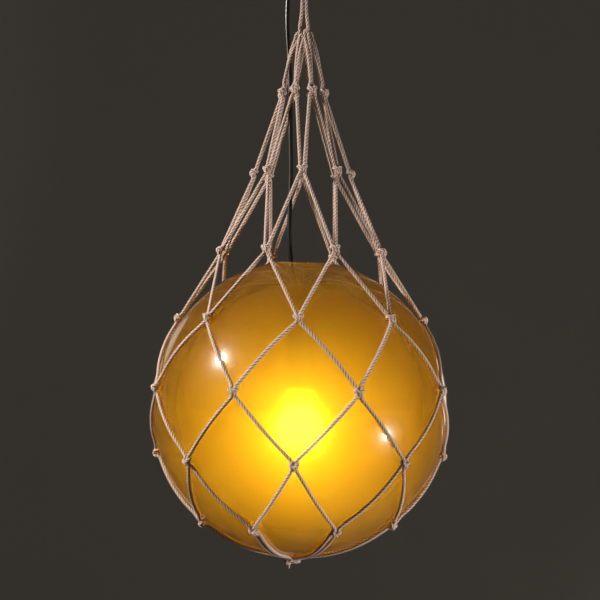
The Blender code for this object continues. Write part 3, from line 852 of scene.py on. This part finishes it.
# %% Laying twine along paths
def lay_twine(name, threads, *nodes):
    """A piece of twine for threads, a list of (points, radius shares, closed)."""
    curve = bpy.data.curves.new(name + "_path", "CURVE")
    curve.dimensions = "3D"
    for points, shares, closed in threads:
        spline = curve.splines.new("POLY")
        spline.points.add(len(points) - 1)
        spline.use_cyclic_u = closed
        for spline_point, point, share in zip(spline.points, points, shares):
            spline_point.co = (*point, 1.0)
            spline_point.radius = share
    path = bpy.data.objects.new(name + "_path", curve)
    bpy.context.scene.collection.objects.link(path)
    laying = path.modifiers.new("lay twine", "NODES")
    laying.node_group = laying_tree
    for item in laying_tree.interface.items_tree:
        if item.in_out == "INPUT" and item.name == "Material":
            laying[item.identifier] = twine
    evaluated = path.evaluated_get(bpy.context.evaluated_depsgraph_get())
    mesh = bpy.data.meshes.new_from_object(evaluated)
    mesh.name = name
    metres = sum(spline.calc_length() for spline in curve.splines)
    bpy.data.objects.remove(path)
    piece = place(name, mesh, None, *nodes)
    print(name, len(mesh.polygons), "faces,", round(metres, 2), "m of twine")
    return piece


# %% [markdown]
# ## The net
#
# Eight meshes go round the ball. Each row of knots lies half a mesh round from the row above it, and the
# rows are set by their angle from the top of the ball. A free row is also set by its height above the
# glass, as a share of the crown's.

# %% Where the knots are
MESHES = 8
CROWN_LIFT = 238 * MM  # the crown's top, above the top of the ball
FREE_ROWS = ((3.83, 0.7214), (11.4, 0.39), (28.9, 0.118))
DRAPED_ROWS = (54.6, 82.6, 108.6, 138.6)
ROWS = len(FREE_ROWS) + len(DRAPED_ROWS)
ROW_TWIST = -0.4  # degrees that the net turns from each row to the next
REST_RADIUS = BALL_RADIUS + TWINE_RADIUS + 0.2 * MM


def row_profile(row):
    """The (radius, height) of a row of knots, from the ball's centre."""
    if row < len(FREE_ROWS):
        angle, share = FREE_ROWS[row]
        distance = BALL_RADIUS + share * CROWN_LIFT
    else:
        angle = DRAPED_ROWS[row - len(FREE_ROWS)]
        distance = REST_RADIUS
    angle = math.radians(angle)
    return distance * math.sin(angle), distance * math.cos(angle)


def row_azimuth(row, column):
    half_meshes = 2 * column + (1 if row % 2 == 0 else 0)
    return math.pi * half_meshes / MESHES + math.radians(ROW_TWIST * row)


class Knot:
    """A knot's middle, from the ball's centre, and the directions across, up and out of the net there."""

    def __init__(self, row, column):
        radius, height = row_profile(row)
        azimuth = row_azimuth(row, column)
        radial = Vector((math.sin(azimuth), -math.cos(azimuth), 0.0))
        self.across = Vector((math.cos(azimuth), math.sin(azimuth), 0.0))
        self.middle = radius * radial + Vector((0.0, 0.0, height))
        above = row_profile(max(row - 1, 0))
        below = row_profile(min(row + 1, ROWS - 1))
        slope = Vector((above[0] - below[0], above[1] - below[1])).normalized()
        self.up = slope.x * radial + Vector((0.0, 0.0, slope.y))
        if row >= len(FREE_ROWS):
            self.up = self.across.cross(-self.middle.normalized()).normalized()
        self.out = self.across.cross(self.up)

    def at(self, x, y, z):
        """A point of the knot, in millimetres across, up and out from its middle."""
        return self.middle + (x * self.across + y * self.up + z * self.out) * MM


knots = [[Knot(row, column) for column in range(MESHES)] for row in range(ROWS)]
print("knots", ROWS * MESHES)

# %% [markdown]
# A knot is a sheet bend, the usual one in netting: the mesh above hangs a bight into it, and the twine of
# the mesh below comes up through the bight, goes round behind it and crosses over itself. Both are written
# as a few points in millimetres across, up and out from the knot's middle.

# %% The knot
KNOT_SHARE = 0.84  # the twine is squeezed this much in a knot
KNOT_EDGE_SHARE = 0.94  # and this much at its edge
KNOT_EDGE = 5
BIGHT = ((-2.1, 5.2, 1.5), (-2.2, 2.4, 2.6), (-2.0, -0.6, 2.9), (0.0, -2.7, 2.9))
BIGHT += tuple((-x, y, z) for x, y, z in BIGHT[2::-1])
BEND = (
    (-2.6, -5.4, 0.3),
    (-1.2, -2.8, 0.2),
    (0.1, -0.2, 2.0),
    (1.6, 1.3, 4.7),
    (3.4, 2.2, 3.7),
    (3.6, 2.6, 1.2),
    (1.6, 2.8, 0.0),
    (-1.6, 2.6, 0.0),
    (-3.6, 2.0, 1.2),
    (-3.3, 1.2, 3.8),
    (-1.2, 0.3, 4.9),
    (1.1, -1.4, 4.7),
    (2.3, -3.2, 2.8),
    (2.7, -5.4, 0.5),
)
LEG_STEP = 9 * MM


def lay_on_ball(point):
    """Moves a point that would be in the glass out to where a strand rests on it."""
    return point.normalized() * REST_RADIUS if point.length < REST_RADIUS else point


def leg(start, end):
    """Points between two knots, without the ends, laid on the ball where the straight line would cut it."""
    steps = max(2, round((end - start).length / LEG_STEP))
    return [lay_on_ball(start.lerp(end, i / steps)) for i in range(1, steps)]


def add_knot(points, shares, knot, shape):
    for place_in_knot in shape:
        points.append(knot.at(*place_in_knot))
        shares.append(KNOT_SHARE if abs(place_in_knot[1]) < KNOT_EDGE else KNOT_EDGE_SHARE)


def add_leg(points, shares, start, end):
    new = leg(start, end)
    points += new
    shares += [1.0] * len(new)


print("sheet bend of", len(BEND), "and", len(BIGHT), "points")

# %% [markdown]
# Each round of the net is one closed thread, which bends round the knots of one row and hangs bights into
# the next. The free rounds and those on the ball are two pieces, so that neither mesh is too large.

# %% Rounds of the net
def round_of_net(row):
    """The closed thread that bends round the knots of one row and hangs bights into the next."""
    points, shares = [], []
    shift = 0 if row % 2 == 0 else -1
    for column in range(MESHES):
        upper = knots[row][column]
        lower = knots[row + 1][(column + shift + 1) % MESHES]
        following = knots[row][(column + 1) % MESHES]
        add_knot(points, shares, upper, BEND)
        add_leg(points, shares, upper.at(*BEND[-1]), lower.at(*BIGHT[0]))
        add_knot(points, shares, lower, BIGHT)
        add_leg(points, shares, lower.at(*BIGHT[-1]), following.at(*BEND[0]))
    return [CENTRE + point for point in points], shares, True


upper_rounds = [round_of_net(row) for row in range(len(FREE_ROWS))]
lower_rounds = [round_of_net(row) for row in range(len(FREE_ROWS), ROWS - 1)]
lay_twine("net_above_ball", upper_rounds, "rope_net")
lay_twine("net_on_ball", lower_rounds, "rope_net")

# %% [markdown]
# ## The crown
#
# Each mesh of the top row is a loop that runs up from its knot, two strands side by side, and bends over
# next to the hanging cord. The loops stand close together, each at its own height.

# %% Crown
PAIR_OFFSET = 1.95 * MM
PAIR_CLOSING = 0.9  # how far the two strands have come together at their knot
# Where each loop bends over, in millimetres from the crown's top: right, back and up
CROWN_TOPS = (
    (2.4, -3.6, -1.9),
    (6.3, -1.8, -3.6),
    (5.8, 3.2, -4.5),
    (1.5, 4.4, -3.0),
    (-1.7, 4.4, -4.6),
    (-6.0, 3.0, -5.2),
    (-6.3, -2.0, -4.4),
    (-2.5, -4.0, -6.6),
)
HOLLOW_LOOPS = (3, 4)  # the two at the back, which stay in the middle longer
HOLLOW_POWER = 2.2
# How far out a strand is, as a share of the way to its knot, at each share of the way down
CROWN_STATIONS = (
    (0.04, 0.05),
    (0.14, 0.21),
    (0.28, 0.42),
    (0.46, 0.62),
    (0.63, 0.76),
    (0.8, 0.87),
    (0.92, 0.95),
)
ARCH_DROP = 1.6 * MM
ARCH_SHARE = 0.75  # of the offset between the two strands, where the arch starts to bend over
ARCH_HEIGHT = 2.6  # drops from the arch's top down to where its strands are upright
ARCH_RADIUS_SHARE = 0.95


def crown_strand(top, sideways, end, power):
    """The points of one strand, from beside a loop's top down to its knot."""
    start = top + sideways - Vector((0.0, 0.0, ARCH_HEIGHT * ARCH_DROP))
    points = []
    for down, out in CROWN_STATIONS:
        point = start.lerp(end, out**power)
        point.z = start.z + (end.z - start.z) * down
        points.append(point - PAIR_CLOSING * down * sideways)
    return points


def crown_loop(column):
    """The closed thread of one top mesh."""
    knot = knots[0][column]
    top = Vector(CROWN_TOPS[column]) * MM + Vector((0.0, 0.0, BALL_RADIUS + CROWN_LIFT))
    sideways = Vector((math.copysign(PAIR_OFFSET, knot.across.x), 0.0, 0.0))
    power = HOLLOW_POWER if column in HOLLOW_LOOPS else 1.0
    left = crown_strand(top, -sideways, knot.at(*BIGHT[0]), power)
    right = crown_strand(top, sideways, knot.at(*BIGHT[-1]), power)
    shoulder = ARCH_SHARE * sideways
    drop = Vector((0.0, 0.0, ARCH_DROP))
    points = [top - shoulder - drop] + left
    shares = [ARCH_RADIUS_SHARE] + [1.0] * len(left)
    add_knot(points, shares, knot, BIGHT)
    points += right[::-1] + [top + shoulder - drop, top]
    shares += [1.0] * len(right) + [ARCH_RADIUS_SHARE] * 2
    return [CENTRE + point for point in points], shares, True


lay_twine("net_crown", [crown_loop(column) for column in range(MESHES)], "rope_net")

# %% [markdown]
# ## The closing
#
# Under the ball the two strands that leave each knot of the last row run side by side to one place, where
# a ring of twine draws all the last meshes together. The ring's ends are tied in a small knot.

# %% The last meshes
CLOSING_MIDDLE = Vector((-6 * MM, -1 * MM, 0.0))
SPOKE_OFFSET = 2.1 * MM
SPOKE_SHARE = 0.95
# Distance from the closing's middle, and drop below the ball, in millimetres, along a strand
SPOKE_STATIONS = ((22.0, 0.0), (14.0, 0.8), (8.0, 2.6))
BIGHT_PLACE = (4.2, 5.0)


def under_ball(outward, distance, drop, sideways=0.0):
    """A point below the ball, by its distance from the closing's middle and its drop in millimetres."""
    beside = Vector((-outward.y, outward.x, 0.0))
    point = CLOSING_MIDDLE + distance * MM * outward + sideways * beside
    point.z = -math.sqrt(REST_RADIUS**2 - point.x**2 - point.y**2) - drop * MM
    return point


def outward_to(knot):
    outward = knot.middle - CLOSING_MIDDLE
    return Vector((outward.x, outward.y, 0.0)).normalized()


def closing_round():
    """The closed thread of the last meshes, which all reach down to the ring."""
    points, shares = [], []
    for column in range(MESHES):
        knot = knots[-1][column]
        following = knots[-1][(column + 1) % MESHES]
        there = [under_ball(outward_to(knot), *station, SPOKE_OFFSET) for station in SPOKE_STATIONS]
        back = [under_ball(outward_to(following), *station, -SPOKE_OFFSET) for station in SPOKE_STATIONS]
        add_knot(points, shares, knot, BEND)
        add_leg(points, shares, knot.at(*BEND[-1]), there[0])
        new = there
        new += [under_ball(outward_to(each), *BIGHT_PLACE) for each in (knot, following)]
        new += back[::-1]
        points += new
        shares += [SPOKE_SHARE] * len(new)
        add_leg(points, shares, back[0], following.at(*BEND[0]))
    return [CENTRE + point for point in points], shares, True


print("closing", round(CLOSING_MIDDLE.length / MM, 1), "mm from the axis")

# %% [markdown]
# The ring is a circle of twine. Its knot is drawn by a formula: a point that goes twice round one circle
# while it goes once round another crosses its own path three times, as an overhand knot does.

# %% Ring, knot and tail
RING_PLACE = (6.6, 5.6)  # its distance and drop, as for a strand
RING_STEPS = 12
RING_SHARE = 0.9
KNOT_STEPS = 18
KNOT_SIZE = 1.3 * MM
KNOT_OUTWARD = Vector((-0.45, -0.89, 0.0))
KNOT_PLACE = (9.5, 4.0)
TAIL = ((0.2, 0, -1), (0.4, -0.4, -4.5), (0.2, -1.0, -8))  # millimetres from the knot
TAIL_SHARES = [0.9, 0.85, 1.1]  # its cut end frays a little


def drawn_ring():
    """The ring of twine that is threaded through the last meshes."""
    points = []
    for i in range(RING_STEPS):
        angle = 2 * math.pi * i / RING_STEPS
        outward = Vector((math.sin(angle), -math.cos(angle), 0.0))
        points.append(CENTRE + under_ball(outward, *RING_PLACE))
    return points, [RING_SHARE] * len(points), True


def overhand_knot(middle, size):
    """A closed knot of three crossings, drawn tight."""
    points = []
    for i in range(KNOT_STEPS):
        t = 2 * math.pi * i / KNOT_STEPS
        x = math.sin(t) + 2 * math.sin(2 * t)
        y = math.cos(t) - 2 * math.cos(2 * t)
        points.append(middle + size * Vector((x, -math.sin(3 * t), y)))
    return points, [RING_SHARE] * len(points), True


knot_middle = CENTRE + under_ball(KNOT_OUTWARD, *KNOT_PLACE)
tail = [knot_middle + Vector(step) * MM for step in TAIL]
ring_knot = overhand_knot(knot_middle, KNOT_SIZE)
lay_twine("net_closing", [closing_round(), drawn_ring(), ring_knot, (tail, TAIL_SHARES, False)], "rope_net")

# %% [markdown]
# ## The hanging cord
#
# The net hangs in a sling of the same twine: a closed loop that lies over the hook, runs down as a pair and
# goes through the crown's meshes. The load pulls it straight, so it is drawn taut. One half of it is given,
# and the other is its mirror image.

# %% Hanging cord
OVER_HOOK = 4.7 * MM  # from the middle of the hook's wire to the middle of the twine
OVER_ANGLES = (0.0, 0.52, 1.05, 1.57)
PAIR_X = 2.2 * MM
PAIR_START = 16 * MM  # below the hook's wire
# Below that, as (x, height above the crown), for the right half of the loop
CORD_ROUTE = (
    (PAIR_X, 21 * MM),
    (3.0 * MM, 12 * MM),
    (4.2 * MM, 2 * MM),
    (3.6 * MM, -3 * MM),
    (2.2 * MM, -8 * MM),
    (0.0, -10 * MM),
)
hook_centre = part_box("hanging_cord")[1][2] - TWINE_RADIUS - OVER_HOOK
crown_z = CENTRE_Z + BALL_RADIUS + CROWN_LIFT
half = [(OVER_HOOK * math.sin(a), hook_centre + OVER_HOOK * math.cos(a)) for a in OVER_ANGLES]
half.append((PAIR_X, hook_centre - PAIR_START))
half += [(x, crown_z + height) for x, height in CORD_ROUTE]
loop = [Vector((x, 0.0, z)) for x, z in half] + [Vector((-x, 0.0, z)) for x, z in half[-2:0:-1]]
lay_twine("hanging_cord_twine", [(loop, [1.0] * len(loop), True)], "hanging_cord")

# %% [markdown]
# ## The ceiling fitting
#
# The rose, the plate and the hook are brass that has aged in the air. Its patina lies in patches: dark and
# smooth where it is whole, and paler and a little rougher where it has worn.

# %% Brass
PATINA_PATCHES = 16.7  # millimetres
brass, tree, shader = new_material("aged_brass", Metallic=1.0, Roughness=0.38)
where = add_node(tree, "ShaderNodeTexCoord")
patina = add_node(
    tree,
    "ShaderNodeTexNoise",
    {"Vector": where.outputs["Object"], "Scale": pattern_scale(PATINA_PATCHES), "Detail": 5.0},
)
tone = add_node(
    tree,
    "ShaderNodeMix",
    {"Factor": patina.outputs["Fac"], "A": linear("5a4628"), "B": linear("9a7c48")},
    data_type="RGBA",
)
wear = add_node(
    tree, "ShaderNodeMapRange", {"Value": patina.outputs["Fac"], "To Min": 0.28, "To Max": 0.5}
)
tree.links.new(tone.outputs["Result"], shader.inputs["Base Color"])
tree.links.new(wear.outputs["Result"], shader.inputs["Roughness"])
print("brass", PATINA_PATCHES, "mm patches")

# %% [markdown]
# The rose is a cup spun from sheet, so its wall is thin and its bend is round. A bead stiffens its rim, as
# on most spun cups. The plate that carries it is a plain disc with a chamfered edge.

# %% Rose and plate
ROSE_RADIUS = 45 * MM
ROSE_WALL = 1.5 * MM
ROSE_ROUNDING = 6 * MM
BEAD_RADIUS = 1.1 * MM
BEAD_HEIGHT = 2.4 * MM
BEAD_RISE = 0.8 * MM
WIRE_RADIUS = 2.5 * MM
PLATE_RADIUS = 28 * MM
PLATE_CHAMFER = 0.6 * MM
rose_low, rose_high = (Vector(corner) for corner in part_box("ceiling_rose"))
hole = WIRE_RADIUS + TOUCH_GAP
inner = ROSE_RADIUS - ROSE_WALL
side = ROSE_RADIUS - BEAD_RISE
rounding = ROSE_ROUNDING - ROSE_WALL
floor = rose_low.z + ROSE_WALL
profile = [(hole, rose_low.z)]
profile += arc((ROSE_RADIUS - ROSE_ROUNDING, rose_low.z + ROSE_ROUNDING), ROSE_ROUNDING, -90, 0, 12)
profile.append((side, rose_high.z - BEAD_HEIGHT - 1.4 * BEAD_RADIUS))
profile += arc((ROSE_RADIUS - BEAD_RADIUS, rose_high.z - BEAD_HEIGHT), BEAD_RADIUS, -60, 60, 6)
profile += [(side, rose_high.z - BEAD_RISE), (side, rose_high.z), (inner, rose_high.z)]
profile += arc((inner - rounding, floor + rounding), rounding, 0, -90, 8)
profile.append((hole, floor))
rose = place("rose_cup", turned("rose_cup", profile, 96, closed=True), brass, "ceiling_rose")
plate_low, plate_high = (Vector(corner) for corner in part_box("ceiling_plate"))
profile = [(0.0, plate_low.z), (PLATE_RADIUS - PLATE_CHAMFER, plate_low.z)]
profile += [(PLATE_RADIUS, plate_low.z + PLATE_CHAMFER), (PLATE_RADIUS, plate_high.z), (0.0, plate_high.z)]
plate = place("fixing_plate", turned("fixing_plate", profile, 96), brass, "ceiling_plate")
print("rose and plate", len(rose.data.polygons) + len(plate.data.polygons), "faces")

# %% [markdown]
# The hook is bent from round wire. Its shank is screwed up through the rose, and a collar on the shank
# holds the rose against the ceiling. The bend is a curve with a round section, because that keeps the
# wire's thickness all the way round, and its end is filed off round.

# %% Hook
EYE_RADIUS = 9.5 * MM
EYE_TURN = 298
EYE_NECK = 3 * MM
COLLAR_RADIUS = 7 * MM
COLLAR_HEIGHT = 2 * MM
SHANK_CHAMFER = 0.4 * MM
COLLAR_CHAMFER = 0.5 * MM
TIP_SHARES = (0.95, 0.8, 0.5)
hook_low, hook_high = (Vector(corner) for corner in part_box("hook"))
collar_top = rose_low.z - TOUCH_GAP
half_collar = COLLAR_HEIGHT / 2
profile = [(0.0, hook_high.z), (WIRE_RADIUS - SHANK_CHAMFER, hook_high.z)]
profile += [(WIRE_RADIUS, hook_high.z - SHANK_CHAMFER)]
profile += [(WIRE_RADIUS, collar_top), (COLLAR_RADIUS - COLLAR_CHAMFER, collar_top)]
profile += arc((COLLAR_RADIUS - half_collar, collar_top - half_collar), half_collar, 60, -60, 6)
profile += [(WIRE_RADIUS, collar_top - COLLAR_HEIGHT), (0.0, collar_top - COLLAR_HEIGHT)]
shank = place("hook_shank", turned("hook_shank", profile, 48), brass, "hook")
eye_z = hook_low.z + WIRE_RADIUS + EYE_RADIUS
bend = [(0.0, collar_top - half_collar), (0.0, eye_z + EYE_RADIUS + EYE_NECK)]
bend += arc((0.0, eye_z), EYE_RADIUS, 90, 90 - EYE_TURN, 60)[1:]
hook_curve = round_wire("hook_bend", WIRE_RADIUS, 8, [(0.0, y, z) for y, z in bend])
for spline_point, share in zip(list(hook_curve.splines[0].points)[-len(TIP_SHARES) :], TIP_SHARES):
    spline_point.radius = share
eye = place("hook_bend", hook_curve, brass, "hook")
print("hook", len(bend), "points")

# %% [markdown]
# The cable's grip is a tapered sleeve with rings, which lets the cable bend only gently where it leaves
# the rose. It is moulded in the same dark resin as the lampholder.

# %% Cable grip
GRIP_BORE_EDGE = 3.6 * MM
GRIP_BOTTOM = 4.2 * MM
GRIP_TOP = 6.5 * MM
GRIP_SHOULDER = 6 * MM
GRIP_CHAMFER = 0.6 * MM
GROOVE = 0.7 * MM
shoulder = grip_high.z - GRIP_SHOULDER
profile = [(0.0, grip_low.z), (GRIP_BORE_EDGE, grip_low.z)]
profile += ringed(GRIP_BOTTOM, grip_low.z + GRIP_CHAMFER, GRIP_TOP, shoulder, GRIP_RINGS, GROOVE)
profile += [(GRIP_TOP, shoulder), (GRIP_TOP, grip_high.z), (0.0, grip_high.z)]
grip_mesh = turned("cable_grip_sleeve", profile, 48)
grip_mesh.transform(Matrix.Translation((CABLE_X, 0.0, 0.0)))
grip = place("cable_grip_sleeve", grip_mesh, phenolic, "cable_grip")
print("grip", len(grip_mesh.polygons), "faces")

# %% [markdown]
# ## The lens
#
# The lens glows a little round the brightest spots, as the photograph's does round the highlights. A glare
# node in the compositor does that. It touches only what is far brighter than white.

# %% Lens glow
GLOW_THRESHOLD = 3.0
GLOW_SIZE = 0.5
scene = bpy.context.scene
scene.use_nodes = True
tree = scene.node_tree
tree.nodes.clear()
picture = add_node(tree, "CompositorNodeRLayers")
glow = add_node(
    tree,
    "CompositorNodeGlare",
    {"Image": picture.outputs["Image"], "Threshold": GLOW_THRESHOLD, "Strength": 1.0, "Size": GLOW_SIZE},
    glare_type="FOG_GLOW",
)
add_node(tree, "CompositorNodeComposite", {"Image": glow.outputs["Image"]})
print("lens glow above", GLOW_THRESHOLD)

# %% [markdown]
# ## Colours
#
# The Standard view shows colours as they were picked.

# %% Colour management
bpy.context.scene.view_settings.view_transform = "Standard"
